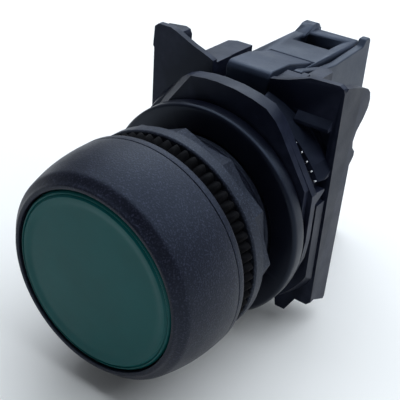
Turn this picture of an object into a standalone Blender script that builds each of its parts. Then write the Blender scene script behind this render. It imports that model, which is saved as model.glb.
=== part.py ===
"""A 22 mm panel push button with a flush green cap: head, fixing nut, mounting adapter and one contact block.

The button's axis is the world Y axis. The front points to -Y and +Z is up. The origin is on the axis, in the
plane of the panel's front face, where the gasket's rear face lies. All dimensions below are in millimetres.
"""

from math import cos, pi, radians, sin

import bmesh
import bpy
from mathutils import Vector

MM = 0.001
GAP = 0.3  # clearance between separate pieces

# Head
CAP_RADIUS = 11.2
CAP_FRONT = -12.6
CAP_REAR = -9.0
CAP_WALL = 0.85
CAP_FACE_DEPTH = 0.4
CAP_FACE_RADIUS = 9.5
BEZEL_BORE = 11.5
BEZEL_FRONT = -12.65
BEZEL_REAR = -3.9
LIP_RADIUS = 14.3
LIP_REAR = -2.75
BARREL_RADIUS = 11.0
BARREL_BORE = 9.6
BARREL_REAR = 15.4
GUIDE_BORE = 7.35
GUIDE_FRONT = 4.0
GUIDE_REAR = 8.6
STEM_RADIUS = GUIDE_BORE - GAP
STEM_REAR = 14.6

# Panel side
GASKET_TIP = 13.8
GASKET_VALLEY = 13.1
GASKET_TEETH = 64
NUT_FRONT = GAP
NUT_BAND_REAR = 2.0
NUT_REAR = 4.4
NUT_RADIUS = 13.85
NUT_CORNER = 13.5
NUT_VALLEY = 12.6
NUT_POINTS = 12
NUT_BORE = BARREL_RADIUS + GAP

# Mounting adapter
RING_FRONT = 7.7
RING_REAR = 9.8
RING_RADIUS = 14.8
SLEEVE_RADIUS = 12.6
SLEEVE_REAR = 15.4
SOCKET_RADIUS = SLEEVE_RADIUS + GAP
PLATE_FRONT = 10.1
PLATE_STEP = 11.1
PLATE_REAR = 12.2
PLATE_RADIUS = 14.35
HUB_RADIUS = 13.55
TUBE_FRONT = 13.4
TUBE_RADIUS = 15.6
TUBE_REAR_RADIUS = 16.4
TUBE_FLAT = 14.05
FRAME_HALF = 14.3
WALL_FRONT = 15.7
WALL_REAR = 16.6
FRAME_REAR = 20.0

# Contact block
BLOCK_LEFT = -4.4
BLOCK_RIGHT = 5.8
BLOCK_TOP = 16.3
BLOCK_FRONT = 20.3
BLOCK_REAR = 40.9
BLOCK_WALL = 1.2
COVER_THICK = 1.2
SCREW_HEIGHT = 10.2
TONGUE_LEFT = -2.7
TONGUE_RIGHT = 3.75
TONGUE_REAR = 27.2
TONGUE_FLOOR = 15.6
STRIP_FRONT = 32.0
STRIP_THICK = 0.8
BRIDGE_FRONT = 26.5
BRIDGE_THICK = 0.6

SMOOTH_ANGLE = radians(32)
ROUND_STEPS = 64


# ---------------------------------------------------------------- materials

def material(name, colour, roughness, metallic=0.0):
    made = bpy.data.materials.new(name)
    made.use_nodes = True
    shader = made.node_tree.nodes["Principled BSDF"]
    shader.inputs["Base Color"].default_value = (*colour, 1.0)
    shader.inputs["Roughness"].default_value = roughness
    shader.inputs["Metallic"].default_value = metallic
    return made


def palette():
    return {
        "cap_green": material("cap_green", (0.0, 0.095, 0.06), 0.3),
        "black_plastic": material("black_plastic", (0.022, 0.023, 0.027), 0.55),
        "frame_plastic": material("frame_plastic", (0.03, 0.031, 0.036), 0.5),
        "black_rubber": material("black_rubber", (0.012, 0.012, 0.013), 0.8),
        "spring_steel": material("spring_steel", (0.55, 0.55, 0.57), 0.3, 1.0),
        "zinc_steel": material("zinc_steel", (0.62, 0.62, 0.63), 0.35, 1.0),
        "brass_strip": material("brass_strip", (0.78, 0.6, 0.3), 0.35, 1.0),
        "silver_tip": material("silver_tip", (0.85, 0.85, 0.86), 0.3, 1.0),
        "inner_plastic": material("inner_plastic", (0.6, 0.6, 0.57), 0.5),
    }


# ---------------------------------------------------------------- shape helpers

def clear_scene():
    for old in list(bpy.data.objects):
        bpy.data.objects.remove(old, do_unlink=True)


def finish_mesh(name, mesh, shape, finish, origin=(0.0, 0.0, 0.0)):
    """Turns a bmesh in millimetres into a named object whose origin is at the given point."""
    bmesh.ops.recalc_face_normals(shape, faces=shape.faces)
    move = Vector(origin)
    for vert in shape.verts:
        vert.co = (vert.co - move) * MM
    shape.to_mesh(mesh)
    shape.free()
    mesh.shade_smooth()
    mesh.set_sharp_from_angle(angle=SMOOTH_ANGLE)
    mesh.materials.append(finish)
    made = bpy.data.objects.new(name, mesh)
    made.location = move * MM
    bpy.context.scene.collection.objects.link(made)
    return made


def on_axis(radius, angle, y):
    return Vector((radius * cos(angle), y, radius * sin(angle)))


def turned(name, profile, finish, steps=ROUND_STEPS):
    """A solid of revolution about Y. The profile is a closed loop of (radius, y), where radius 0 is the axis."""
    shape = bmesh.new()
    rings = []
    for radius, y in profile:
        if radius == 0:
            rings.append([shape.verts.new((0.0, y, 0.0))])
        else:
            rings.append([shape.verts.new(on_axis(radius, 2 * pi * k / steps, y)) for k in range(steps)])
    for here, there in zip(rings, rings[1:] + rings[:1]):
        join_rings(shape, here, there)
    return finish_mesh(name, bpy.data.meshes.new(name), shape, finish)


def join_rings(shape, here, there):
    """Faces between two rings of points, either of which may be a single point on the axis."""
    count = max(len(here), len(there))
    if count == 1:
        return
    for k in range(count):
        after = (k + 1) % count
        corners = [here[k % len(here)], here[after % len(here)], there[after % len(there)], there[k % len(there)]]
        shape.faces.new(list(dict.fromkeys(corners)))


def lofted(name, sections, bore, finish):
    """A ring whose outside passes through sections of (y, radius at each angle), around a round bore."""
    shape = bmesh.new()
    steps = len(sections[0][1])
    rings = [
        [shape.verts.new(on_axis(radius, 2 * pi * k / steps, y)) for k, radius in enumerate(radii)]
        for y, radii in sections
    ]
    for y in (sections[-1][0], sections[0][0]):
        rings.append([shape.verts.new(on_axis(bore, 2 * pi * k / steps, y)) for k in range(steps)])
    for here, there in zip(rings, rings[1:] + rings[:1]):
        join_rings(shape, here, there)
    return finish_mesh(name, bpy.data.meshes.new(name), shape, finish)


def extruded(name, corners, travel, finish, origin=(0.0, 0.0, 0.0)):
    """A flat face with the given corners, pulled along the travel vector."""
    shape = bmesh.new()
    start = shape.faces.new([shape.verts.new(corner) for corner in corners])
    pulled = bmesh.ops.extrude_face_region(shape, geom=[start])
    moved = [item for item in pulled["geom"] if isinstance(item, bmesh.types.BMVert)]
    bmesh.ops.translate(shape, verts=moved, vec=travel)
    return finish_mesh(name, bpy.data.meshes.new(name), shape, finish, origin)


def prism(name, outline, low, high, finish):
    """An outline of (x, z) points, extruded along Y from low to high."""
    return extruded(name, [(x, low, z) for x, z in outline], (0.0, high - low, 0.0), finish)


def side_prism(name, outline, low, high, finish, origin=(0.0, 0.0, 0.0)):
    """An outline of (y, z) points, extruded along X from low to high."""
    return extruded(name, [(low, y, z) for y, z in outline], (high - low, 0.0, 0.0), finish, origin)


def plan_prism(name, outline, low, high, finish):
    """An outline of (x, y) points, extruded along Z from low to high."""
    return extruded(name, [(x, y, low) for x, y in outline], (0.0, 0.0, high - low), finish)


def block(name, low, high, finish, origin=(0.0, 0.0, 0.0)):
    """A box between two corners."""
    shape = bmesh.new()
    bmesh.ops.create_cube(shape, size=1.0)
    for vert in shape.verts:
        vert.co = [a + (b - a) * (c + 0.5) for a, b, c in zip(low, high, vert.co)]
    return finish_mesh(name, bpy.data.meshes.new(name), shape, finish, origin)


def rod(name, centre, radius, low, high, finish, steps=24):
    """A cylinder along Y at the (x, z) centre."""
    x, z = centre
    outline = [
        (x + radius * cos(2 * pi * k / steps), z + radius * sin(2 * pi * k / steps)) for k in range(steps)
    ]
    return prism(name, outline, low, high, finish)


def as_tool(tool):
    tool.hide_render = True
    tool.display_type = "WIRE"


def combine(target, tool, operation):
    modifier = target.modifiers.new(tool.name, "BOOLEAN")
    modifier.operation = operation
    modifier.solver = "EXACT"
    modifier.object = tool
    as_tool(tool)


def cut(target, *tools):
    for tool in tools:
        combine(target, tool, "DIFFERENCE")


def fuse(target, *tools):
    for tool in tools:
        combine(target, tool, "UNION")


def coil(name, radius, wire, front, rear, turns, finish, per_turn=12, sides=1):
    """A compression spring about the Y axis."""
    curve = bpy.data.curves.new(name, "CURVE")
    curve.dimensions = "3D"
    curve.bevel_depth = wire * MM
    curve.bevel_resolution = sides
    curve.use_fill_caps = True
    count = int(turns * per_turn) + 1
    path = curve.splines.new("POLY")
    path.points.add(count - 1)
    for k, point in enumerate(path.points):
        share = k / (count - 1)
        angle = 2 * pi * turns * share
        place = on_axis(radius, angle, front + wire + (rear - front - 2 * wire) * share) * MM
        point.co = (*place, 1.0)
    curve.materials.append(finish)
    made = bpy.data.objects.new(name, curve)
    bpy.context.scene.collection.objects.link(made)
    return made


# ---------------------------------------------------------------- head

def make_cap(finish):
    rim_inner = CAP_FACE_RADIUS + 0.7
    face = CAP_FRONT + CAP_FACE_DEPTH
    roof = face + 1.6
    inner = CAP_RADIUS - CAP_WALL
    return turned("button_cap", [
        (0, face), (CAP_FACE_RADIUS, face), (CAP_FACE_RADIUS + 0.3, face - 0.25), (rim_inner, CAP_FRONT),
        (CAP_RADIUS - 0.35, CAP_FRONT + 0.03), (CAP_RADIUS, CAP_FRONT + 0.4), (CAP_RADIUS, CAP_REAR),
        (inner, CAP_REAR), (inner, roof), (0, roof),
    ], finish)


def make_bezel(finish):
    face = [(12.2, BEZEL_FRONT + 0.4), (12.9, BEZEL_FRONT + 0.9), (13.1, BEZEL_FRONT + 1.15)]
    crown = [
        (13.22, BEZEL_FRONT + 1.5), (13.42, BEZEL_FRONT + 2.1), (13.8, BEZEL_FRONT + 3.5),
        (14.1, BEZEL_FRONT + 5.2), (14.25, BEZEL_FRONT + 7.0),
    ]
    return turned("bezel", [
        (BEZEL_BORE, BEZEL_FRONT + 0.15), (BEZEL_BORE + 0.15, BEZEL_FRONT), *face, *crown,
        (LIP_RADIUS, BEZEL_REAR - 0.1), (LIP_RADIUS - 0.1, BEZEL_REAR), (BEZEL_BORE, BEZEL_REAR),
    ], finish)


def make_head_body(finish):
    lip_front = BEZEL_REAR + GAP
    return turned("head_body", [
        (BARREL_BORE, lip_front), (LIP_RADIUS - 0.1, lip_front), (LIP_RADIUS, lip_front + 0.1),
        (LIP_RADIUS, LIP_REAR - 0.3), (LIP_RADIUS - 0.3, LIP_REAR), (BARREL_RADIUS, LIP_REAR),
        (BARREL_RADIUS, BARREL_REAR), (BARREL_BORE, BARREL_REAR), (BARREL_BORE, GUIDE_REAR),
        (GUIDE_BORE, GUIDE_REAR), (GUIDE_BORE, GUIDE_FRONT), (BARREL_BORE, GUIDE_FRONT),
    ], finish)


def make_cap_plunger(finish):
    disc_front = CAP_FRONT + CAP_FACE_DEPTH + 1.6 + GAP
    disc_rear = disc_front + 1.2
    disc = CAP_RADIUS - CAP_WALL - GAP
    groove_front = GUIDE_REAR
    groove_rear = groove_front + 1.4
    groove_floor = STEM_RADIUS - 0.8
    hollow = 5.4
    return turned("cap_plunger", [
        (0, disc_front), (disc, disc_front), (disc, disc_rear), (STEM_RADIUS, disc_rear),
        (STEM_RADIUS, groove_front), (groove_floor, groove_front), (groove_floor, groove_rear),
        (STEM_RADIUS, groove_rear), (STEM_RADIUS, STEM_REAR), (hollow, STEM_REAR),
        (hollow, disc_rear + 0.8), (0, disc_rear + 0.8),
    ], finish, steps=48)


def make_plunger_clip(finish):
    front = GUIDE_REAR + GAP
    rear = front + 0.8
    inner = STEM_RADIUS - 0.8 + GAP
    outer = BARREL_BORE - 0.8
    clip = turned("plunger_clip", [(inner, front), (outer, front), (outer, rear), (inner, rear)], finish, 36)
    mouth = block("clip_mouth", (-2.5, front - 1, -outer - 1), (2.5, rear + 1, -inner + 1), finish)
    cut(clip, mouth)
    return clip


def make_cap_seal(finish):
    rear = BEZEL_REAR
    front = rear - 0.55
    outer = BEZEL_BORE - GAP
    return turned("cap_seal", [(9.9, front), (outer, front), (outer, rear), (9.9, rear)], finish, 48)


# ---------------------------------------------------------------- panel side

def make_gasket(finish):
    rise = GASKET_TIP - GASKET_VALLEY
    rib = [GASKET_VALLEY + rise * share for share in (0, 0.68, 0.95, 0.95, 0.68)]
    radii = rib * GASKET_TEETH
    front = LIP_REAR + GAP
    shoulder = [radius - 0.5 for radius in radii]
    rim = [radius - 0.15 for radius in radii]
    sections = [(front, shoulder), (front + 0.45, radii), (-0.15, radii), (0.0, rim)]
    return lofted("panel_gasket", sections, BARREL_RADIUS + 0.4, finish)


def straight_radius(first, last, share, span):
    """The radius part of the way along a straight edge between two points that stand a span of angle apart."""
    angle = share * span
    return first * last * sin(span) / (first * sin(angle) + last * sin(span - angle))


def make_fixing_nut(finish):
    """A round flange with a twelve-pointed section behind it for the wrench."""
    per_edge = 3
    span = pi / NUT_POINTS
    rising = [straight_radius(NUT_VALLEY, NUT_CORNER, k / per_edge, span) for k in range(per_edge)]
    falling = [straight_radius(NUT_CORNER, NUT_VALLEY, k / per_edge, span) for k in range(per_edge)]
    star = (falling + rising) * NUT_POINTS
    band = [NUT_RADIUS] * len(star)
    sections = [
        (NUT_FRONT, [radius - 0.2 for radius in band]), (NUT_FRONT + 0.2, band), (NUT_BAND_REAR, band),
        (NUT_BAND_REAR + 0.15, [radius + 0.15 for radius in star]), (NUT_REAR - 0.2, star),
        (NUT_REAR, [radius - 0.25 for radius in star]),
    ]
    return lofted("fixing_nut", sections, NUT_BORE, finish)


# ---------------------------------------------------------------- adapter

def make_lock_ring(finish):
    bore = BARREL_RADIUS + GAP
    fillet = 1.1
    edge = [
        (RING_RADIUS - fillet * (1 - sin(angle)), RING_FRONT + fillet * (1 - cos(angle)))
        for angle in (radians(degrees) for degrees in (0, 22.5, 45, 67.5, 90))
    ]
    return turned("lock_ring", [
        (bore, RING_FRONT), *edge, (RING_RADIUS, RING_REAR - 0.3), (RING_RADIUS - 0.3, RING_REAR),
        (SLEEVE_RADIUS, RING_REAR), (SLEEVE_RADIUS, SLEEVE_REAR), (bore, SLEEVE_REAR),
    ], finish)


def plate_outline(foot_radius):
    """The front plate: round below, with a crowned top, a long slanted right shoulder and a rounded left one."""
    crown_radius = 21.0
    top = 17.6
    crown = [
        (crown_radius * sin(angle), top - crown_radius * (1 - cos(angle)))
        for angle in (radians(degrees) for degrees in (-11, -5, 0, 7, 14, 20))
    ]
    slant = 0.65 * (PLATE_RADIUS - foot_radius)
    right = [(8.6, 15.2), (9.6, 13.9), (foot_radius, 6.6 + 2 * slant)]
    foot = [
        (foot_radius * cos(angle), -foot_radius * sin(angle))
        for angle in (radians(degrees) for degrees in range(0, 181, 12))
    ]
    left = [(-foot_radius, 5.6 + slant), (-9.8, 10.9), (-8.3, 13.6), (-6.5, 15.8), (-5.3, 16.7)]
    return crown + right + foot + left


def wall_outline():
    """The front wall with its two upper corner wings and two lower feet."""
    half = FRAME_HALF
    return [
        (half, 18.6), (half - 0.25, 19.1), (half - 0.8, 19.4), (9.6, 19.25), (8.1, 18.7), (6.6, 18.15),
        (5.2, 17.8), (4.0, 17.6), (-4.4, 17.3), (-5.3, 17.7), (-6.4, 18.1), (-7.9, 18.6), (-9.3, 19.2),
        (-10.6, 19.75), (-11.6, 20.1), (-half + 0.6, 20.1), (-half, 19.6), (-half - 0.2, 16.9), (-half, 16.6),
        (-half, -12.1), (-half + 0.9, -12.9), (-11.8, -12.9), (-10.6, -15.4), (-9.1, -15.4), (-8.6, -13.3),
        (8.6, -13.3), (9.0, -15.4), (10.5, -15.4), (11.9, -12.9), (half - 0.6, -12.9), (half, -12.3),
    ]


def make_frame(finish):
    half = FRAME_HALF
    frame = prism("adapter_frame", wall_outline(), WALL_FRONT, WALL_REAR, finish)
    slab = block("frame_slab", (-half, WALL_REAR - 0.5, -12.1), (half, FRAME_REAR, 15.2), finish)
    post_outline = [
        (-half, 14), (-half, 19.2), (-half + 0.5, 19.5), (-11.0, 19.8), (-10.3, 19.6), (-10.0, 19.0), (-10.0, 14),
    ]
    post = prism("frame_post", post_outline, 16.2, 18.3, finish)
    bridge_outline = [(-8.2, 16.0), (-8.2, 24.6), (-7.2, 25.3), (7.2, 25.3), (8.2, 24.6), (8.2, 16.0)]
    bridge = plan_prism("frame_bridge", bridge_outline, 14.6, 16.95, finish)
    plate = prism("frame_plate", plate_outline(PLATE_RADIUS), PLATE_STEP, PLATE_REAR, finish)
    brow = prism("frame_brow", plate_outline(PLATE_RADIUS - 0.65), PLATE_FRONT, PLATE_STEP + 0.5, finish)
    along, across = Vector((9.1, 0.0, 12.1)).normalized(), Vector((-12.1, 0.0, 9.1)).normalized()
    foot = Vector((-PLATE_RADIUS, 0.0, 4.9)) - 0.4 * along
    front, depth = PLATE_FRONT - 0.3, 1.7
    chamfer_section = [(-1.1, front), (3.0, front), (3.0, front + depth + 1.2), (0.2, front + depth)]
    chamfer_corners = [foot + across * reach + Vector((0.0, y, 0.0)) for reach, y in chamfer_section]
    chamfer = extruded("plate_chamfer", chamfer_corners, along * 17.0, finish)
    core = SOCKET_RADIUS - 0.5
    low, high = PLATE_REAR - 0.7, WALL_FRONT + 0.4
    hub = turned("frame_hub", [(core, low), (HUB_RADIUS, low), (HUB_RADIUS, high), (core, high)], finish)
    fuse(frame, plate, brow)
    cut(frame, chamfer)
    fuse(frame, slab, post, bridge, make_tube(finish), hub)
    for side in (-1, 1):
        name = "left" if side < 0 else "right"
        fuse(frame, *frame_side(side, name, finish))
    ledge_outline = [(14.8, 13.5), (14.8, 13.9), (WALL_FRONT + 0.22, 15.0), (WALL_FRONT + 0.22, 13.5)]
    fuse(frame, side_prism("frame_ledge", ledge_outline, 8.5, 13.3, finish))
    shoulder_outline = [(16.3, 15.5), (16.3, 17.3), (18.5, 17.35), (20.6, 17.5), (20.6, 15.5)]
    fuse(frame, side_prism("frame_shoulder", shoulder_outline, TONGUE_RIGHT, 7.0, finish))
    pocket_outline = [(13.1, 13.3), (13.1, 9.6), (10.9, 12.7), (10.2, 13.3)]
    pocket = prism("frame_pocket", pocket_outline, WALL_FRONT - 0.2, WALL_FRONT + 1.0, finish)
    socket = rod("frame_socket", (0, 0), SOCKET_RADIUS, PLATE_FRONT - 1, SLEEVE_REAR + 1.0, finish, 48)
    opening = rod("frame_opening", (0, 0), 8.2, SLEEVE_REAR, FRAME_REAR + 1, finish, 36)
    slot_left, slot_right = -4.6, TONGUE_RIGHT + GAP
    tongue_slot = block("frame_tongue_slot", (slot_left, 14.6, 14.5), (slot_right, 26, 22), finish)
    hook_slot = block("frame_hook_slot", (slot_left, 14.6, 10.8), (slot_right, 18.2, 15), finish)
    low, high = (BLOCK_LEFT - GAP, BLOCK_FRONT - GAP, -20), (BLOCK_RIGHT + GAP, 30, 20)
    seat = block("frame_block_seat", low, high, finish)
    cut(frame, pocket, socket, opening, tongue_slot, hook_slot, seat)
    return frame


def make_tube(finish):
    """The round wall in front of the frame, with flat sides and a notch in each."""
    rear = WALL_FRONT + 0.15
    core = SOCKET_RADIUS - 1.0
    profile = [(core, TUBE_FRONT), (TUBE_RADIUS, TUBE_FRONT), (TUBE_REAR_RADIUS, rear), (core, rear)]
    tube = turned("frame_tube", profile, finish, 60)
    for side in (-1, 1):
        name = "left" if side < 0 else "right"
        low, high = sorted((side * TUBE_FLAT, side * 20))
        flat = block("tube_flat_" + name, (low, TUBE_FRONT - 1, -20), (high, 20, 20), finish)
        low, high = sorted((side * 12.6, side * 20))
        notch = block("tube_notch_" + name, (low, TUBE_FRONT - 1, 4.1), (high, WALL_FRONT - 0.02, 7.5), finish)
        low, high = sorted((side * (TUBE_FLAT - 0.6), side * 20))
        groove = block("tube_groove_" + name, (low, WALL_FRONT - 0.35, -20), (high, WALL_FRONT - 0.05, 5), finish)
        cut(tube, flat, notch, groove)
    return tube


def frame_side(side, name, finish):
    """One side of the frame: the cheek with its rear tab, and the web that joins it to the front plate."""
    inner, outer = sorted((side * (FRAME_HALF - 1.4), side * FRAME_HALF))
    drop = 0.0 if side > 0 else 1.4
    cheek_outline = [
        (WALL_FRONT + 0.3, -12.0), (FRAME_REAR - 0.3, -13.9), (FRAME_REAR, -13.5), (FRAME_REAR + 0.6, 7.2), (21.2, 7.8),
        (21.5, 8.2), (21.5, 8.8), (20.7, 9.6), (FRAME_REAR + 0.5, 10.6), (21.0, 11.8), (22.5, 13.2),
        (23.4, 14.4), (23.55, 15.5 - 0.4 * drop), (23.2, 16.5 - 0.7 * drop), (22.4, 17.2 - drop), (21.0, 17.75 - drop),
        (18.2, 18.6 - drop), (16.6, 19.0 - drop), (WALL_FRONT + 0.3, 18.5 - drop),
    ]
    cheek = side_prism("cheek_" + name, cheek_outline, inner, outer, finish)
    low, high = sorted((side * (HUB_RADIUS - 0.6), side * (FRAME_HALF - 0.02)))
    web_outline = [(PLATE_REAR - 0.5, 4.6), (PLATE_REAR - 0.5, 6.8), (14.3, 6.4), (14.3, 6.0)]
    web = side_prism("web_" + name, web_outline, low, high, finish)
    return cheek, web


def make_lock_spring(finish):
    """A thin steel detent strip that lies behind the front plate, with small teeth along its edge."""
    inner = HUB_RADIUS + GAP
    outline = []
    first, last, steps = radians(27.5), radians(66), 32
    for k in range(steps + 1):
        angle = first + (last - first) * k / steps
        outer = inner + (1.0 if k % 4 == 2 else 0.4)
        outline.append((outer * cos(angle), outer * sin(angle)))
    for k in range(steps, -1, -2):
        angle = first + (last - first) * k / steps
        outline.append((inner * cos(angle), inner * sin(angle)))
    return prism("lock_spring", outline, PLATE_REAR + GAP, TUBE_FRONT - GAP, finish)


# ---------------------------------------------------------------- contact block

def make_release_tongue(finish):
    """The sprung tongue on top. Its origin is on the line where it bends."""
    bend = (0.5, TONGUE_REAR, 16.1)
    outline = [
        (15.9, 11.5), (17.6, 11.5), (17.6, TONGUE_FLOOR), (TONGUE_REAR, TONGUE_FLOOR), (TONGUE_REAR, BLOCK_TOP),
        (21.0, 17.85), (16.9, 18.05), (16.3, 17.85), (15.9, 17.3),
    ]
    return side_prism("release_tongue", outline, TONGUE_LEFT, TONGUE_RIGHT, finish, bend)


def make_housing(finish):
    right = BLOCK_RIGHT - COVER_THICK - GAP
    left, wall = BLOCK_LEFT, BLOCK_WALL
    low = (left, BLOCK_FRONT, -BLOCK_TOP)
    housing = block("contact_housing", low, (right, BLOCK_REAR, BLOCK_TOP), finish)
    cavity = block("housing_cavity", (left + wall, BLOCK_FRONT + wall, -BLOCK_TOP + wall + 0.4),
                   (right + 1, BLOCK_REAR - wall, BLOCK_TOP - wall - 0.4), finish)
    push_hole = block("housing_push_hole", (-2.7, BLOCK_FRONT - 1, -2.7), (2.7, BLOCK_FRONT + wall + 1, 2.7), finish)
    tongue_seat = block("housing_tongue_seat", (TONGUE_LEFT - GAP, BLOCK_FRONT - 1, TONGUE_FLOOR - GAP),
                        (TONGUE_RIGHT + GAP, TONGUE_REAR + GAP, BLOCK_TOP + 1), finish)
    cut(housing, cavity, push_hole, tongue_seat)
    for side in (-1, 1):
        name = "bottom" if side < 0 else "top"
        low_z, high_z = sorted((side * (BLOCK_TOP - 3), side * (BLOCK_TOP + 1)))
        wire_hole = block("wire_hole_" + name, (-2.9, 33.1, low_z), (3.1, 37.5, high_z), finish)
        screw_hole = rod("screw_hole_" + name, (0.3, side * SCREW_HEIGHT), 3.0, 38.5, BLOCK_REAR + 1, finish, 20)
        low_z, high_z = sorted((side * (BLOCK_TOP - 0.9), side * (BLOCK_TOP + 1)))
        notch = block("rear_notch_" + name, (left + 2.0, BLOCK_REAR - 1.1, low_z), (right + 1, 42, high_z), finish)
        low_z, high_z = sorted((side * 13.4, side * (BLOCK_TOP - 0.8)))
        low, high = (left + 0.5, 37.45, low_z), (right - 0.02, BLOCK_REAR - 0.6, high_z)
        guide = block("wire_guide_" + name, low, high, finish)
        fuse(housing, guide)
        cut(housing, wire_hole, screw_hole, notch)
    knob_outline = [
        (-5.0, -0.5), (-4.4, 0.03), (-3.3, 0.45), (-2.6, 0.8), (-1.9, 0.9), (-1.1, 0.9), (-0.5, 0.65), (-0.1, 0.1),
        (-0.1, -0.5),
    ]
    knob_outline = [(BLOCK_REAR + y, BLOCK_TOP + z) for y, z in knob_outline]
    fuse(housing, side_prism("knob", knob_outline, left + 0.02, left + 1.9, finish))
    return housing


def make_cover(finish):
    outline = [
        (BLOCK_FRONT, -BLOCK_TOP + 0.4), (BLOCK_REAR - 0.6, -BLOCK_TOP + 0.4), (BLOCK_REAR, -BLOCK_TOP + 1.0),
        (BLOCK_REAR, BLOCK_TOP + 0.2), (BLOCK_REAR - 0.4, BLOCK_TOP + 0.6), (BLOCK_REAR - 1.6, BLOCK_TOP + 0.6),
        (BLOCK_REAR - 2.4, BLOCK_TOP - 0.3), (30.5, BLOCK_TOP - 0.7), (27.5, BLOCK_TOP - 0.4),
        (21.2, BLOCK_TOP + 1.15), (BLOCK_FRONT, BLOCK_TOP + 1.2),
    ]
    return side_prism("contact_cover", outline, BLOCK_RIGHT - COVER_THICK, BLOCK_RIGHT, finish)


def make_contact_plunger(finish):
    front = STEM_REAR + GAP
    plunger = block("contact_plunger", (-2.4, 21.8, -2.4), (2.4, 33.0, 2.4), finish)
    head = rod("plunger_head", (0, 0), 2.35, front, 22.4, finish, 20)
    foot = rod("plunger_foot", (0, 0), 6.4, front, front + 1.2, finish, 32)
    window = block("plunger_window", (-1.8, 24.5, -3), (1.8, BRIDGE_FRONT + BRIDGE_THICK + GAP, 3), finish)
    fuse(plunger, head, foot)
    cut(plunger, window)
    return plunger


def make_bridge(finish):
    low = (-1.5, BRIDGE_FRONT, -6.6)
    return block("contact_bridge", low, (1.5, BRIDGE_FRONT + BRIDGE_THICK, 6.6), finish)


def make_terminal(side, name, look):
    """The fixed strip, its tip, the bridge's tip, the clamp plate and the screw of one terminal."""
    lean = 0.3
    bridge_rear = BRIDGE_FRONT + BRIDGE_THICK
    inner_z, outer_z = sorted((side * 3.1, side * 13.8))
    strip = block("fixed_contact_" + name, (-2.8, STRIP_FRONT, inner_z), (3.6, STRIP_FRONT + STRIP_THICK, outer_z),
                  look["brass_strip"])
    thread = rod("strip_hole_" + name, (lean, side * SCREW_HEIGHT), 1.5, STRIP_FRONT - 1,
                 STRIP_FRONT + STRIP_THICK + 1, look["brass_strip"], 20)
    cut(strip, thread)
    tip_place = (0, side * 5.2)
    rod("fixed_tip_" + name, tip_place, 1.2, STRIP_FRONT - GAP - 0.7, STRIP_FRONT - GAP, look["silver_tip"], 16)
    rod("bridge_tip_" + name, tip_place, 1.2, bridge_rear + GAP, bridge_rear + GAP + 0.7, look["silver_tip"], 16)
    make_saddle(side, name, lean, look["zinc_steel"])
    make_screw(side, name, lean, look["zinc_steel"])


def make_saddle(side, name, lean, finish):
    low_z, high_z = sorted((side * (SCREW_HEIGHT - 2.4), side * (SCREW_HEIGHT + 2.4)))
    saddle = block("saddle_" + name, (-2.3, 36.2, low_z), (2.9, 37.1, high_z), finish)
    hole = rod("saddle_hole_" + name, (lean, side * SCREW_HEIGHT), 1.5, 35, 38, finish, 20)
    cut(saddle, hole)


def make_screw(side, name, lean, finish):
    """A cross-slotted screw. The head faces the rear, where a screwdriver reaches it."""
    z = side * SCREW_HEIGHT
    shank = rod("terminal_screw_" + name, (lean, z), 1.2, 30.4, 37.8, finish, 16)
    head = rod("screw_head_" + name, (lean, z), 2.2, 37.4, 39.2, finish, 24)
    fuse(shank, head)
    for kind, wide, tall in (("across", 1.7, 0.3), ("upright", 0.3, 1.7)):
        slot = block(f"slot_{kind}_{name}", (lean - wide, 38.4, z - tall), (lean + wide, 40, z + tall), finish)
        cut(shank, slot)


# ---------------------------------------------------------------- assembly

def build():
    clear_scene()
    look = palette()
    make_cap(look["cap_green"])
    make_cap_plunger(look["inner_plastic"])
    make_plunger_clip(look["spring_steel"])
    make_bezel(look["black_plastic"])
    make_head_body(look["black_plastic"])
    make_cap_seal(look["black_rubber"])
    coil("return_spring", 8.35, 0.35, -8.75, 3.7, 5, look["spring_steel"], per_turn=14)
    make_gasket(look["black_rubber"])
    make_fixing_nut(look["frame_plastic"])
    make_lock_ring(look["frame_plastic"])
    make_frame(look["frame_plastic"])
    make_lock_spring(look["spring_steel"])
    make_release_tongue(look["frame_plastic"])
    make_housing(look["frame_plastic"])
    make_cover(look["frame_plastic"])
    make_contact_plunger(look["inner_plastic"])
    make_bridge(look["brass_strip"])
    coil("bridge_spring", 1.1, 0.15, 24.7, 26.3, 3, look["spring_steel"], per_turn=10)
    coil("contact_spring", 1.7, 0.2, 33.3, 39.4, 5, look["spring_steel"], per_turn=10)
    make_terminal(1, "top", look)
    make_terminal(-1, "bottom", look)


build()
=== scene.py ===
"""The visual model of a 22 mm panel push button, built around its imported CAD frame.

The button's axis is the Y axis, its front points to -Y and +Z is up. Lengths named in this file are in
millimetres unless a comment says otherwise, and MM turns them into metres.
"""

from math import cos, pi, radians, sin

import bmesh
import bpy
from mathutils import Matrix, Vector


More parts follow.
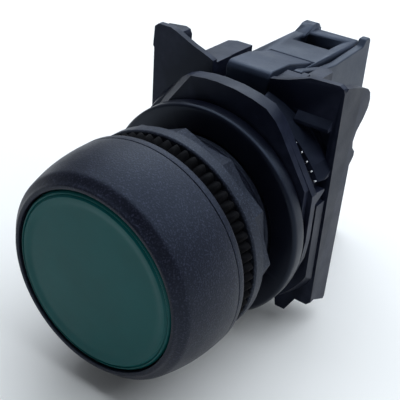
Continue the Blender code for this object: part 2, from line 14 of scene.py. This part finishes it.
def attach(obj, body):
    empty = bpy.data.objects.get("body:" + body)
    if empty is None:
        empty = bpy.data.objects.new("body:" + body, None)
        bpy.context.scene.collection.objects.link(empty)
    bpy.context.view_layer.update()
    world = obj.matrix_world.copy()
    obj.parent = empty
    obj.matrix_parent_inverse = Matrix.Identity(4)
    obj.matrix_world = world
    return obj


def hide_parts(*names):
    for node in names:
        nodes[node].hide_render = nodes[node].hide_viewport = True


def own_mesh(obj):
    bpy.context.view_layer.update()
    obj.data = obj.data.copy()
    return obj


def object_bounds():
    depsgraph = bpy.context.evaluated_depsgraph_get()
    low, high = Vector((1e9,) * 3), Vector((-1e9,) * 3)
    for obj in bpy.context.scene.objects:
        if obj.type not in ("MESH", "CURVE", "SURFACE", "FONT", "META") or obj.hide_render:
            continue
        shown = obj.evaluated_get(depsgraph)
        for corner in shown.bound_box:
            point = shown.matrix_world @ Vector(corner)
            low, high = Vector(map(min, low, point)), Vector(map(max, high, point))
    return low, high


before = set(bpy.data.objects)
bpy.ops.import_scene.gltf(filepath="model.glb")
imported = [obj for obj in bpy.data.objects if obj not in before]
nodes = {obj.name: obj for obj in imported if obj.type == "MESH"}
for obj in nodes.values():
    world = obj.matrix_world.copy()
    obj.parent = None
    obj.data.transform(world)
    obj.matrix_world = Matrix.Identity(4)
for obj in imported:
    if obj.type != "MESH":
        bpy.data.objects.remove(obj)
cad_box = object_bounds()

MM = 0.001
SAME_POINT = 0.001
WELD_GAP = 0.01
BLUE_SHEEN = (0.62, 0.76, 1.0)
DAYLIGHT = (0.80, 0.89, 1.0)


# ---------------------------------------------------------------- node helpers

class Tree:
    """A short way to add and link nodes in one material."""

    def __init__(self, name):
        self.material = bpy.data.materials.new(name)
        self.material.use_nodes = True
        self.tree = self.material.node_tree
        self.shader = self.tree.nodes["Principled BSDF"]
        coord = self.tree.nodes.new("ShaderNodeTexCoord")
        self.place = coord.outputs["Object"]

    def node(self, kind, **settings):
        made = self.tree.nodes.new("ShaderNode" + kind)
        for key, value in settings.items():
            setattr(made, key, value)
        return made

    def link(self, source, target):
        self.tree.links.new(source, target)

    def noise(self, size, detail=2.0, rough=0.5):
        """Smooth noise whose features are about the given size across."""
        made = self.node("TexNoise")
        made.inputs["Scale"].default_value = 1.0 / (size * MM)
        made.inputs["Detail"].default_value = detail
        made.inputs["Roughness"].default_value = rough
        self.link(self.place, made.inputs["Vector"])
        return made.outputs["Fac"]

    def ramp(self, source, low=0.0, high=1.0, start=0.3, stop=0.7):
        """A value that goes from low to high as source goes from start to stop."""
        made = self.node("MapRange")
        for key, value in (("From Min", start), ("From Max", stop), ("To Min", low), ("To Max", high)):
            made.inputs[key].default_value = value
        self.link(source, made.inputs["Value"])
        return made.outputs["Result"]

    def product(self, first, second):
        made = self.node("Math", operation="MULTIPLY")
        self.link(first, made.inputs[0])
        self.link(second, made.inputs[1])
        return made.outputs["Value"]

    def mix(self, share, first, second):
        """Goes from the first colour to the second as share goes from 0 to 1."""
        share_in, first_in, second_in, colour_out = 0, 6, 7, 2
        made = self.node("Mix", data_type="RGBA")
        for socket, value in ((made.inputs[first_in], first), (made.inputs[second_in], second)):
            if isinstance(value, tuple):
                socket.default_value = (*value, 1.0)
            else:
                self.link(value, socket)
        self.link(share, made.inputs[share_in])
        return made.outputs[colour_out]

    def painted_edge_highlight(self):
        """1 along outside edges and 0 elsewhere, broken up in patches: the mask of a painted edge highlight.
        """
        found = self.node("NewGeometry").outputs["Pointiness"]
        edges = self.ramp(found, start=0.53, stop=0.6)
        patches = self.ramp(self.noise(size=1.2), low=0.4)
        return self.product(edges, patches)

    def bump(self, *layers):
        """Each layer is (height, strength, depth)."""
        normal = None
        for height, strength, depth in layers:
            made = self.node("Bump")
            made.inputs["Strength"].default_value = strength
            made.inputs["Distance"].default_value = depth * MM
            self.link(height, made.inputs["Height"])
            if normal is not None:
                self.link(normal, made.inputs["Normal"])
            normal = made.outputs["Normal"]
        self.link(normal, self.shader.inputs["Normal"])

    def set(self, **values):
        """Gives sockets of the shader a colour, a number or another node's output."""
        for key, value in values.items():
            socket = self.shader.inputs[key.replace("_", " ")]
            if isinstance(value, tuple):
                socket.default_value = (*value, 1.0)
            elif isinstance(value, (int, float)):
                socket.default_value = value
            else:
                self.link(value, socket)


# ---------------------------------------------------------------- materials

def moulded(name, dark, light, roughness, specular=0.5, grain=0.22, depth=0.02):
    """Moulded plastic: cloudy colour, a fine spark-eroded grain and outside edges painted lighter as a
    highlight.
    """
    made = Tree(name)
    cloud = made.noise(size=6.0, detail=3.0)
    coarse = made.noise(size=grain, rough=0.6)
    body = made.mix(made.ramp(cloud), dark, light)
    # the outside edges are painted in this lighter colour as a highlight
    edge_highlight_colour = tuple(min(1.0, 1.9 * value + 0.006) for value in light)
    colour = made.mix(made.painted_edge_highlight(), body, edge_highlight_colour)
    smear = made.noise(size=3.0, detail=4.0, rough=0.6)
    sheen = made.ramp(smear, low=roughness - 0.05, high=roughness + 0.07)
    made.set(Base_Color=colour, Roughness=sheen, Specular_IOR_Level=specular, Specular_Tint=BLUE_SHEEN)
    fine = made.noise(size=grain * 0.4, detail=1.0)
    made.bump((coarse, 0.6, depth), (fine, 0.35, depth * 0.5))
    return made.material


def speckled(name, dark, light, roughness):
    """Plastic with a coarse bumped grain, whose tiny points are painted bright as glints."""
    made = Tree(name)
    grain = made.noise(size=0.2, rough=0.65)
    cloud = made.noise(size=7.0, detail=3.0)
    # tiny points of the grain are painted bright as glints
    point = made.ramp(grain, start=0.52, stop=0.7)
    body = made.mix(made.ramp(cloud), dark, light)
    painted_glint = tuple(min(1.0, 3.4 * value) for value in light)
    colour = made.mix(point, body, painted_glint)
    smear = made.noise(size=4.0, detail=4.0, rough=0.6)
    sheen = made.ramp(smear, low=roughness - 0.05, high=roughness + 0.06)
    made.set(Base_Color=colour, Roughness=sheen, Specular_IOR_Level=0.22, Specular_Tint=BLUE_SHEEN)
    ripple = made.noise(size=0.4)
    made.bump((grain, 0.9, 0.035), (ripple, 0.3, 0.03))
    return made.material


def glossy_cap(name):
    """Deep green plastic with a low polish, faint cloudiness and hairline handling marks."""
    made = Tree(name)
    cloud = made.noise(size=5.0, detail=3.0)
    body = made.mix(made.ramp(cloud), (0.0012, 0.070, 0.070), (0.0018, 0.080, 0.080))
    marks = made.noise(size=0.6, detail=6.0, rough=0.75)
    made.set(Base_Color=body, Roughness=made.ramp(marks, low=0.3, high=0.42), Specular_IOR_Level=0.15)
    grain = made.noise(size=0.35, detail=3.0, rough=0.6)
    wave = made.noise(size=5.0, detail=1.0)
    made.bump((grain, 0.25, 0.02), (wave, 0.15, 0.15))
    return made.material


def rubber(name):
    """Matt black rubber with a little dust on it."""
    made = Tree(name)
    dust = made.ramp(made.noise(size=1.6, detail=5.0, rough=0.65), start=0.45, stop=0.8)
    body = made.mix(dust, (0.0015, 0.0014, 0.0020), (0.0045, 0.0042, 0.0055))
    sheen = made.ramp(made.noise(size=0.8, detail=3.0), low=0.6, high=0.8)
    made.set(Base_Color=body, Roughness=sheen, Specular_IOR_Level=0.06)
    made.bump((made.noise(size=0.2, detail=3.0, rough=0.6), 0.5, 0.03))
    return made.material


def bare_metal(name, dark, light, roughness, streak):
    """Plated or drawn metal with fine drawing lines and a little tarnish.

    streak scales the pattern along x, y and z: the lines run along the axis with the small value.
    """
    lines_per_metre = 1500.0
    made = Tree(name)
    stretch = made.node("Mapping")
    stretch.inputs["Scale"].default_value = streak
    made.link(made.place, stretch.inputs["Vector"])
    drawn = made.node("TexNoise")
    drawn.inputs["Scale"].default_value = lines_per_metre
    drawn.inputs["Detail"].default_value = 4.0
    made.link(stretch.outputs["Vector"], drawn.inputs["Vector"])
    lines = drawn.outputs["Fac"]
    tarnish = made.noise(size=1.1, detail=4.0, rough=0.65)
    body = made.mix(made.ramp(tarnish), dark, light)
    sheen = made.ramp(lines, low=roughness - 0.08, high=roughness + 0.1)
    made.set(Base_Color=body, Metallic=1.0, Roughness=sheen)
    made.bump((lines, 0.3, 0.01), (tarnish, 0.15, 0.02))
    return made.material


def pale_floor(name):
    """Warm white paper."""
    made = Tree(name)
    cloud = made.noise(size=40.0, detail=3.0)
    body = made.mix(made.ramp(cloud), (0.90, 0.86, 0.80), (0.92, 0.875, 0.815))
    sheen = made.ramp(made.noise(size=9.0, detail=3.0), low=0.75, high=0.85)
    made.set(Base_Color=body, Roughness=sheen, Specular_IOR_Level=0.2)
    made.bump((made.noise(size=0.7, detail=3.0), 0.1, 0.02))
    return made.material


# ---------------------------------------------------------------- CAD nodes

def dress(name, finish, bevel=0.0):
    """Gives a CAD node its finish and, where bevel is above 0, fine rounded edges."""
    flat_within, edge_beyond = radians(0.6), radians(28)
    node = nodes[name]
    node.data.materials.clear()
    node.data.materials.append(finish)
    weld = node.modifiers.new("weld", "WELD")
    weld.merge_threshold = WELD_GAP * MM
    if bevel:
        flat = node.modifiers.new("flat", "DECIMATE")
        flat.decimate_type = "DISSOLVE"
        flat.angle_limit = flat_within
        edge = node.modifiers.new("edge", "BEVEL")
        edge.width = bevel * MM
        edge.segments = 2
        edge.limit_method = "ANGLE"
        edge.angle_limit = edge_beyond
    node.modifiers.new("shading", "WEIGHTED_NORMAL")


def dress_head():
    """The round control head, from the cap to the nut."""
    head_black = speckled("head_black", (0.0060, 0.0064, 0.0115), (0.0084, 0.0090, 0.0150), roughness=0.43)
    nut_black = speckled("nut_black", (0.0090, 0.0100, 0.0155), (0.0125, 0.0140, 0.0205), roughness=0.46)
    seal = rubber("seal_rubber")
    cap_shell(glossy_cap("cap_green"))
    bezel_shell(head_black)
    head_shell(head_black)
    gasket_shell(seal)
    dress("cap_seal", seal)
    dress("fixing_nut", nut_black, bevel=0.08)


def dress_adapter():
    """The mounting adapter, with its collar and its steel strip."""
    frame_black = moulded("frame_black", (0.0030, 0.0036, 0.0095), (0.0048, 0.0060, 0.0135),
                          roughness=0.42, specular=0.17)
    ring_black = moulded("ring_black", (0.0022, 0.0024, 0.0065), (0.0038, 0.0044, 0.0095),
                         roughness=0.38, specular=0.3)
    polished = bare_metal("polished_steel", (0.66, 0.66, 0.67), (0.80, 0.80, 0.80), 0.16, streak=(1, 0.2, 1))
    ring_shell(ring_black)
    dress("adapter_frame", frame_black, bevel=0.18)
    detent_strip(polished)


def dress_block():
    """The contact block and the tongue that holds it, with all that is inside the block."""
    block_black = moulded("block_black", (0.0095, 0.0130, 0.0230), (0.0135, 0.0180, 0.0310),
                          roughness=0.45, specular=0.36, grain=0.25)
    zinc = bare_metal("zinc_plate", (0.50, 0.51, 0.53), (0.64, 0.65, 0.66), 0.34, streak=(1, 0.2, 1))
    brass = bare_metal("brass_strip", (0.60, 0.42, 0.17), (0.74, 0.55, 0.26), 0.33, streak=(0.2, 1, 1))
    silver = bare_metal("silver_tip", (0.70, 0.70, 0.70), (0.82, 0.82, 0.82), 0.3, streak=(1, 1, 0.3))
    dress("release_tongue", block_black, bevel=0.2)
    dress("contact_housing", block_black)
    dress("contact_cover", block_black, bevel=0.2)
    dress("contact_bridge", brass, bevel=0.08)
    for side in ("top", "bottom"):
        dress("fixed_contact_" + side, brass, bevel=0.08)
        dress("fixed_tip_" + side, silver)
        dress("bridge_tip_" + side, silver)
        dress("saddle_" + side, zinc, bevel=0.1)
        dress("terminal_screw_" + side, zinc, bevel=0.08)


def dress_plungers():
    """The two push rods, the cap's clip and the three springs."""
    inner_grey = moulded("inner_grey", (0.30, 0.30, 0.28), (0.36, 0.36, 0.33),
                         roughness=0.5, grain=0.3, depth=0.015)
    spring = bare_metal("spring_wire", (0.42, 0.42, 0.43), (0.56, 0.56, 0.57), 0.26, streak=(1, 0.2, 1))
    dress("cap_plunger", inner_grey)
    dress("contact_plunger", inner_grey, bevel=0.15)
    dress("plunger_clip", spring)
    coil_piece("return_coil", "return_spring", "housing", spring,
               radius=8.35, wire=0.35, front=-8.75, rear=3.7, turns=5)
    coil_piece("contact_coil", "contact_spring", "housing", spring,
               radius=1.7, wire=0.2, front=33.3, rear=39.4, turns=5)
    coil_piece("bridge_coil", "bridge_spring", "actuator", spring,
               radius=1.1, wire=0.15, front=24.7, rear=26.3, turns=3)


# ---------------------------------------------------------------- pieces made again at full detail

def rounded_profile(corners):
    """A lathe profile in which each (radius, y, fillet) corner becomes a small curve of that fillet.

    A fillet takes up less than half of each side that it joins.
    """
    steps, most_of_side = 4, 0.45
    path = []
    count = len(corners)
    for k, (radius, y, fillet) in enumerate(corners):
        corner = Vector((radius, y))
        before = Vector(corners[k - 1][:2]) - corner
        after = Vector(corners[(k + 1) % count][:2]) - corner
        reach = min(fillet, most_of_side * before.length, most_of_side * after.length)
        if reach <= 0:
            path.append(corner)
            continue
        start = corner + before.normalized() * reach
        end = corner + after.normalized() * reach
        for step in range(steps + 1):
            share = step / steps
            path.append(start.lerp(corner, share).lerp(corner.lerp(end, share), share))
    return path


def smooth_step(value, start, width):
    """0 up to start, 1 from start + width on, and a smooth climb between them."""
    share = min(1.0, max(0.0, (value - start) / width))
    return share * share * (3 - 2 * share)


def finish_piece(name, shape, finish, body, stands_for, sharp=40):
    """Turns a shape into a piece on a body. Edges of more than sharp degrees stay crisp."""
    bmesh.ops.recalc_face_normals(shape, faces=shape.faces)
    for face in shape.faces:
        face.smooth = True
    for edge in shape.edges:
        if len(edge.link_faces) == 2 and edge.calc_face_angle() > radians(sharp):
            edge.smooth = False
    mesh = bpy.data.meshes.new(name)
    shape.to_mesh(mesh)
    shape.free()
    made = bpy.data.objects.new(name, mesh)
    made.data.materials.append(finish)
    bpy.context.scene.collection.objects.link(made)
    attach(made, body)
    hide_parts(stands_for)
    return made


def bridge_rings(shape, here, there):
    """Faces between two closed rings of the same number of corners."""
    count = len(here)
    for k in range(count):
        following = (k + 1) % count
        shape.faces.new((here[k], here[following], there[following], there[k]))


def bridge_row(shape, rings):
    """A closed tube along a row of rings, with a flat face at each end."""
    for here, there in zip(rings, rings[1:]):
        bridge_rings(shape, here, there)
    shape.faces.new(rings[0])
    shape.faces.new(rings[-1])


def lathe(path, steps=160, ripple=None):
    """A closed path turned round the Y axis. ripple changes each radius by (radius, y, angle)."""
    shape = bmesh.new()
    rings = []
    for step in range(steps):
        angle = 2 * pi * step / steps
        ring = []
        for radius, y in path:
            if ripple is not None:
                radius = ripple(radius, y, angle)
            ring.append(shape.verts.new((radius * cos(angle) * MM, y * MM, radius * sin(angle) * MM)))
        rings.append(ring)
    for step in range(steps):
        bridge_rings(shape, rings[step], rings[(step + 1) % steps])
    bmesh.ops.remove_doubles(shape, verts=shape.verts, dist=SAME_POINT * MM)
    return shape


def bezel_shell(finish):
    """The grained front ring: a narrow flat face, a tight shoulder and a long swelling flank."""
    front, rear, bore, widest = -12.65, -3.78, 11.5, 14.3
    corners = [
        (bore, front + 0.06, 0.12), (bore + 0.5, front, 0.2), (12.3, front + 0.42, 0.5),
        (13.12, front + 1.08, 0.35), (13.42, front + 2.1, 0.6), (13.82, front + 3.6, 0.8),
        (14.12, front + 5.3, 0.9), (14.28, front + 7.2, 0.8), (widest, rear, 0.12), (bore, rear, 0.0),
    ]
    finish_piece("bezel_shell", lathe(rounded_profile(corners)), finish, "housing", "bezel")


def head_shell(finish):
    """The lip behind the bezel, with the threaded barrel that passes through the panel."""
    front, lip_rear, rear = -3.72, -2.75, 15.4
    bore, radius, lip = 9.6, 11.0, 14.3
    collar_front, collar_rear, collar_bore = 4.0, 8.6, 7.35
    pitch, depth, flank = 1.0, 0.28, 3.2
    thread_front, thread_rear = 0.4, 14.6
    rows, steps = 142, 96
    path = rounded_profile([
        (bore, front, 0.0), (lip, front, 0.12), (lip, lip_rear, 0.18), (radius, lip_rear, 0.0),
    ])
    for row in range(rows + 1):
        path.append(Vector((radius, thread_front + (thread_rear - thread_front) * row / rows)))
    path += rounded_profile([
        (radius, rear, 0.2), (bore, rear, 0.1), (bore, collar_rear, 0.0), (collar_bore, collar_rear, 0.1),
        (collar_bore, collar_front, 0.1), (bore, collar_front, 0.0),
    ])

    def thread(reach, y, angle):
        on_barrel = reach > radius - 0.01
        if not on_barrel or not thread_front < y < thread_rear:
            return reach
        turn = (y / pitch - angle / (2 * pi)) % 1.0
        return reach - depth * min(1.0, flank * abs(turn - 0.5))

    finish_piece("head_shell", lathe(path, steps, thread), finish, "housing", "head_body")


def cap_shell(finish):
    """The green cap: a raised rounded rim round a shallow, faintly hollow face."""
    front, rear, radius, inner, rim = -12.6, -9.0, 11.36, 10.35, 10.95
    dish, slope_start, slope_width, face_radius, steps = 0.19, 9.4, 1.1, 10.6, 40
    roof = front + 2.0
    path = [Vector((0.0, front + dish))]
    for step in range(1, steps + 1):
        reach = face_radius * step / steps
        path.append(Vector((reach, front + dish * (1 - smooth_step(reach, slope_start, slope_width)))))
    path += rounded_profile([
        (rim, front, 0.3), (radius, front + 0.42, 0.3), (radius, rear, 0.1), (inner, rear, 0.1),
        (inner, roof, 0.1),
    ])
    path.append(Vector((0.0, roof)))
    finish_piece("cap_shell", lathe(path), finish, "cap", "button_cap")


def gasket_shell(finish):
    """The rubber gasket: a lean ring whose rear edge flares out into a row of rounded teeth."""
    front, rear, bore = -2.45, 0.0, 11.4
    teeth, tooth_height, tooth_start, tooth_width, steps_per_tooth = 64, 0.68, 0.3, 1.3, 8
    flank_rows, flank_radius, flare, flank_start, flank_length = 8, 12.85, 0.25, 0.45, 1.85
    outside = 12.6
    path = rounded_profile([(bore, front, 0.1), (12.75, front, 0.25)])
    for row in range(flank_rows + 1):
        share = row / flank_rows
        path.append(Vector((flank_radius + flare * share, front + flank_start + flank_length * share)))
    path += rounded_profile([(13.05, rear, 0.1), (bore, rear, 0.1)])

    def teeth_out(reach, y, angle):
        if reach < outside:
            return reach
        lobe = abs(sin(0.5 * teeth * angle))
        return reach + tooth_height * lobe * smooth_step(y, front + tooth_start, tooth_width)

    shape = lathe(path, teeth * steps_per_tooth, teeth_out)
    finish_piece("gasket_shell", shape, finish, "housing", "panel_gasket", sharp=60)


def ring_shell(finish):
    """The adapter's round turning collar, with the sleeve behind it."""
    bore, sleeve, flange = 11.3, 12.6, 14.8
    front, flange_rear, rear = 7.7, 9.8, 15.4
    corners = [
        (bore, front, 0.1), (flange, front, 0.6), (flange, flange_rear, 0.3), (sleeve, flange_rear, 0.15),
        (sleeve, rear, 0.1), (bore, rear, 0.1),
    ]
    finish_piece("ring_shell", lathe(rounded_profile(corners)), finish, "ring", "lock_ring")


def detent_strip(finish):
    """The steel strip behind the collar: a thin arc with a row of small rounded pegs along its outside."""
    inner, outer, front, rear = 13.85, 14.5, 12.55, 13.05
    arc_start, arc_sweep, steps = 27.6, 38.2, 48
    pegs, first_peg, spacing = 8, 29.9, 4.81
    peg_radius, peg_y, peg_half_size = 15.0, 12.84, (0.85, 0.24, 0.2)
    shape = bmesh.new()
    rings = []
    for step in range(steps + 1):
        angle = radians(arc_start + arc_sweep * step / steps)
        ring = []
        for reach, y in ((inner, front), (outer, front), (outer, rear), (inner, rear)):
            ring.append(shape.verts.new((reach * cos(angle) * MM, y * MM, reach * sin(angle) * MM)))
        rings.append(ring)
    bridge_row(shape, rings)
    stretch = Matrix.Diagonal((*(half * MM for half in peg_half_size), 1.0))
    for peg in range(pegs):
        angle = radians(first_peg + spacing * peg)
        middle = Vector((peg_radius * cos(angle), peg_y, peg_radius * sin(angle))) * MM
        place = Matrix.Translation(middle) @ Matrix.Rotation(-angle, 4, "Y") @ stretch
        bmesh.ops.create_icosphere(shape, subdivisions=3, radius=1.0, matrix=place)
    finish_piece("detent_strip", shape, finish, "housing", "lock_spring")


def coil_piece(name, stands_for, body, finish, radius, wire, front, rear, turns):
    """A spring of round wire whose end turns lie close together.

    wire is the wire's own radius.
    """
    around, along = 10, int(turns * 36)
    low, high = front + wire, rear - wire
    close = 2.1 * wire
    shape = bmesh.new()
    rings = []
    for k in range(along + 1):
        turn = turns * k / along
        if turn < 1:
            y = low + close * turn
        elif turn > turns - 1:
            y = high - close * (turns - turn)
        else:
            share = (turn - 1) / (turns - 2)
            y = low + close + (high - low - 2 * close) * share
        angle = 2 * pi * turn
        middle = Vector((radius * cos(angle), y, radius * sin(angle)))
        outward = Vector((cos(angle), 0.0, sin(angle)))
        ring = []
        for step in range(around):
            lean = 2 * pi * step / around
            offset = wire * (outward * cos(lean) + Vector((0.0, sin(lean), 0.0)))
            ring.append(shape.verts.new((middle + offset) * MM))
        rings.append(ring)
    bridge_row(shape, rings)
    made = finish_piece(name, shape, finish, body, stands_for)
    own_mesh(made)


# ---------------------------------------------------------------- stage

def make_stage():
    """A paper floor under the object's lowest point."""
    half_side = 1500
    low, _ = cad_box
    shape = bmesh.new()
    bmesh.ops.create_grid(shape, x_segments=4, y_segments=4, size=half_side * MM)
    mesh = bpy.data.meshes.new("floor")
    shape.to_mesh(mesh)
    shape.free()
    floor = bpy.data.objects.new("floor", mesh)
    floor.location = (0, 0, low[2])
    floor.data.materials.append(pale_floor("floor_paper"))
    bpy.context.scene.collection.objects.link(floor)


def softbox(name, place, target, size, power):
    """A rectangular daylight lamp. Places and sizes are in metres, the power is in watts."""
    lamp = bpy.data.lights.new(name, "AREA")
    lamp.shape = "RECTANGLE"
    lamp.size, lamp.size_y = size
    lamp.energy = power
    lamp.color = DAYLIGHT
    made = bpy.data.objects.new(name, lamp)
    made.location = place
    made.rotation_euler = (Vector(target) - Vector(place)).to_track_quat("-Z", "Y").to_euler()
    bpy.context.scene.collection.objects.link(made)


def make_world():
    """Plain studio surroundings that are pale behind the object and dim in front of it."""
    dim, pale = 0.10, 0.42
    fade_start, fade_stop = -0.5, 0.7
    world = bpy.data.worlds.new("studio")
    world.use_nodes = True
    tree = world.node_tree
    background = tree.nodes["Background"]
    background.inputs["Color"].default_value = (*DAYLIGHT, 1.0)
    coord = tree.nodes.new("ShaderNodeTexCoord")
    parts = tree.nodes.new("ShaderNodeSeparateXYZ")
    fade = tree.nodes.new("ShaderNodeMapRange")
    for key, value in (("From Min", fade_start), ("From Max", fade_stop), ("To Min", dim), ("To Max", pale)):
        fade.inputs[key].default_value = value
    tree.links.new(coord.outputs["Generated"], parts.inputs["Vector"])
    tree.links.new(parts.outputs["Y"], fade.inputs["Value"])
    tree.links.new(fade.outputs["Result"], background.inputs["Strength"])
    bpy.context.scene.world = world


def make_light():
    """A large lamp overhead and behind, with two small ones for the left rear edges and the right side."""
    middle = (0, 0.01, 0)
    softbox("key", (0.10, 0.50, 0.60), target=(0.10, 0.50, 0.0), size=(1.4, 1.3), power=13.5)
    softbox("rim", (-0.42, 0.62, 0.42), target=middle, size=(0.5, 0.35), power=0.9)
    softbox("right", (0.60, 0.30, 0.10), target=middle, size=(0.4, 0.25), power=0.2)


def make_camera():
    """A close view from the front, the right and above."""
    place = (50.75, -67.04, 56.52)
    tilt, roll, turn = 58.79, -3.59, 36.16
    lens = bpy.data.cameras.new("camera")
    lens.lens = 73.64
    lens.sensor_width = 36.0
    lens.clip_start = 5 * MM
    camera = bpy.data.objects.new("camera", lens)
    camera.location = Vector(place) * MM
    camera.rotation_euler = (radians(tilt), radians(roll), radians(turn))
    bpy.context.scene.collection.objects.link(camera)
    bpy.context.scene.camera = camera


make_camera()
dress_head()
dress_adapter()
dress_block()
dress_plungers()
make_stage()
make_world()
make_light()
bpy.context.scene.view_settings.view_transform = "Standard"
